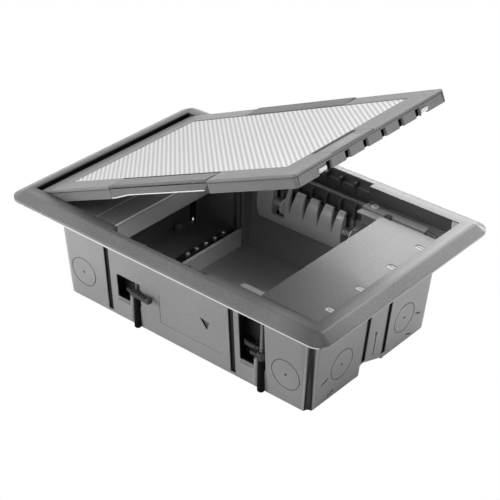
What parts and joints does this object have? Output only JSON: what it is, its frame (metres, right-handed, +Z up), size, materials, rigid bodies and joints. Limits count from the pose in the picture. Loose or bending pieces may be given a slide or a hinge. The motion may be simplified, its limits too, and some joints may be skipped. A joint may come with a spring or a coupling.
{
  "type": "floor socket box",
  "caption": "Rectangular floor socket box: tapered tub with swing clamps, sloping trim frame and a hinged lid with cable flaps, thumb latch and metal inlay.",
  "frame": {"origin": "middle of the trim frame in plan, at the underside of the tub", "axes": "+X from the lid's hinge end to its free end, +Y across the box, +Z up"},
  "size_m": [0.324, 0.224, 0.2088],
  "materials": {
    "grey_plastic": "matte",
    "trim_plastic": "satin",
    "dark_plastic": "matte",
    "black_plastic": "matte",
    "flap_plastic": "matte",
    "pale_metal": "brushed",
    "zinc_steel": "satin",
    "bright_steel": "polished",
    "brass": "satin"
  },
  "bodies": {
    "box": {"tub": "grey_plastic", "trim_frame": "trim_plastic", "trim_screws": "zinc_steel", "latch_side_plate": "grey_plastic", "hinge_side_plate": "dark_plastic", "rail_near": "zinc_steel", "rail_far": "zinc_steel", "rail_screws": "bright_steel", "divider": "dark_plastic", "earth_bar": "brass", "earth_screws": "bright_steel", "outlet_rake_near": "dark_plastic", "outlet_rake_far": "dark_plastic", "cable_comb_near": "grey_plastic", "cable_comb_far": "grey_plastic", "comb_pins": "bright_steel", "comb_springs": "zinc_steel", "strike_clips": "bright_steel", "hinge_brackets": "dark_plastic", "hinge_pins": "zinc_steel", "clamp_screw_1": "zinc_steel", "clamp_screw_2": "zinc_steel", "clamp_screw_3": "zinc_steel", "clamp_screw_4": "zinc_steel", "clamp_sleeve_1": "black_plastic", "clamp_sleeve_2": "black_plastic", "clamp_sleeve_3": "black_plastic", "clamp_sleeve_4": "black_plastic"},
    "lid": {"lid_frame": "grey_plastic", "lid_insert": "pale_metal", "lid_tray": "zinc_steel", "flap_pins": "zinc_steel", "latch_springs": "zinc_steel"},
    "flap_near": {"cable_flap_near": "flap_plastic", "flap_edge_strip_near": "bright_steel"},
    "flap_far": {"cable_flap_far": "flap_plastic", "flap_edge_strip_far": "bright_steel"},
    "latch": {"latch_bar": "bright_steel", "thumb_slide": "grey_plastic"},
    "clamp_nut_1": {"clamp_nut_1": "zinc_steel"},
    "claw_1": {"clamp_claw_1": "zinc_steel"},
    "clamp_nut_2": {"clamp_nut_2": "zinc_steel"},
    "claw_2": {"clamp_claw_2": "zinc_steel"},
    "clamp_nut_3": {"clamp_nut_3": "zinc_steel"},
    "claw_3": {"clamp_claw_3": "zinc_steel"},
    "clamp_nut_4": {"clamp_nut_4": "zinc_steel"},
    "claw_4": {"clamp_claw_4": "zinc_steel"}
  },
  "joints": [
    {"name": "lid_hinge", "type": "hinge", "parent": "box", "child": "lid", "pos_m": [-0.1378, 0, 0.0911], "axis": [0, -1, 0], "range_deg": [-23.3, 71.7]},
    {"name": "flap_far_hinge", "type": "hinge", "parent": "lid", "child": "flap_far", "pos_m": [-0.01379, 0.0763, 0.15153], "axis": [0.9184, 0, 0.3955], "range_deg": [-2.5, 67.5]},
    {"name": "flap_near_hinge", "type": "hinge", "parent": "lid", "child": "flap_near", "pos_m": [-0.01379, -0.0763, 0.15153], "axis": [-0.9184, 0, -0.3955], "range_deg": [-2.5, 67.5]},
    {"name": "latch_slide", "type": "slide", "parent": "lid", "child": "latch", "axis": [-0.9184, 0, -0.3955], "range_m": [0, 0.0045], "stiffness_N_per_m": 300, "deforming": ["latch_springs"]},
    {"name": "clamp_lift_1", "type": "slide", "parent": "box", "child": "clamp_nut_1", "axis": [0, 0, 1], "range_m": [0, 0.004]},
    {"name": "claw_swing_1", "type": "hinge", "parent": "clamp_nut_1", "child": "claw_1", "pos_m": [-0.0471, -0.0805, 0.0367], "axis": [0, 0, -1], "range_deg": [0, 175]},
    {"name": "clamp_lift_2", "type": "slide", "parent": "box", "child": "clamp_nut_2", "axis": [0, 0, 1], "range_m": [0, 0.025]},
    {"name": "claw_swing_2", "type": "hinge", "parent": "clamp_nut_2", "child": "claw_2", "pos_m": [0.084, -0.0805, 0.0367], "axis": [0, 0, 1], "range_deg": [0, 120]},
    {"name": "clamp_lift_3", "type": "slide", "parent": "box", "child": "clamp_nut_3", "axis": [0, 0, 1], "range_m": [0, 0.025]},
    {"name": "claw_swing_3", "type": "hinge", "parent": "clamp_nut_3", "child": "claw_3", "pos_m": [-0.08, 0.0805, 0.0367], "axis": [0, 0, -1], "range_deg": [0, 120]},
    {"name": "clamp_lift_4", "type": "slide", "parent": "box", "child": "clamp_nut_4", "axis": [0, 0, 1], "range_m": [0, 0.025]},
    {"name": "claw_swing_4", "type": "hinge", "parent": "clamp_nut_4", "child": "claw_4", "pos_m": [0.084, 0.0805, 0.0367], "axis": [0, 0, -1], "range_deg": [0, 120]}
  ]
}
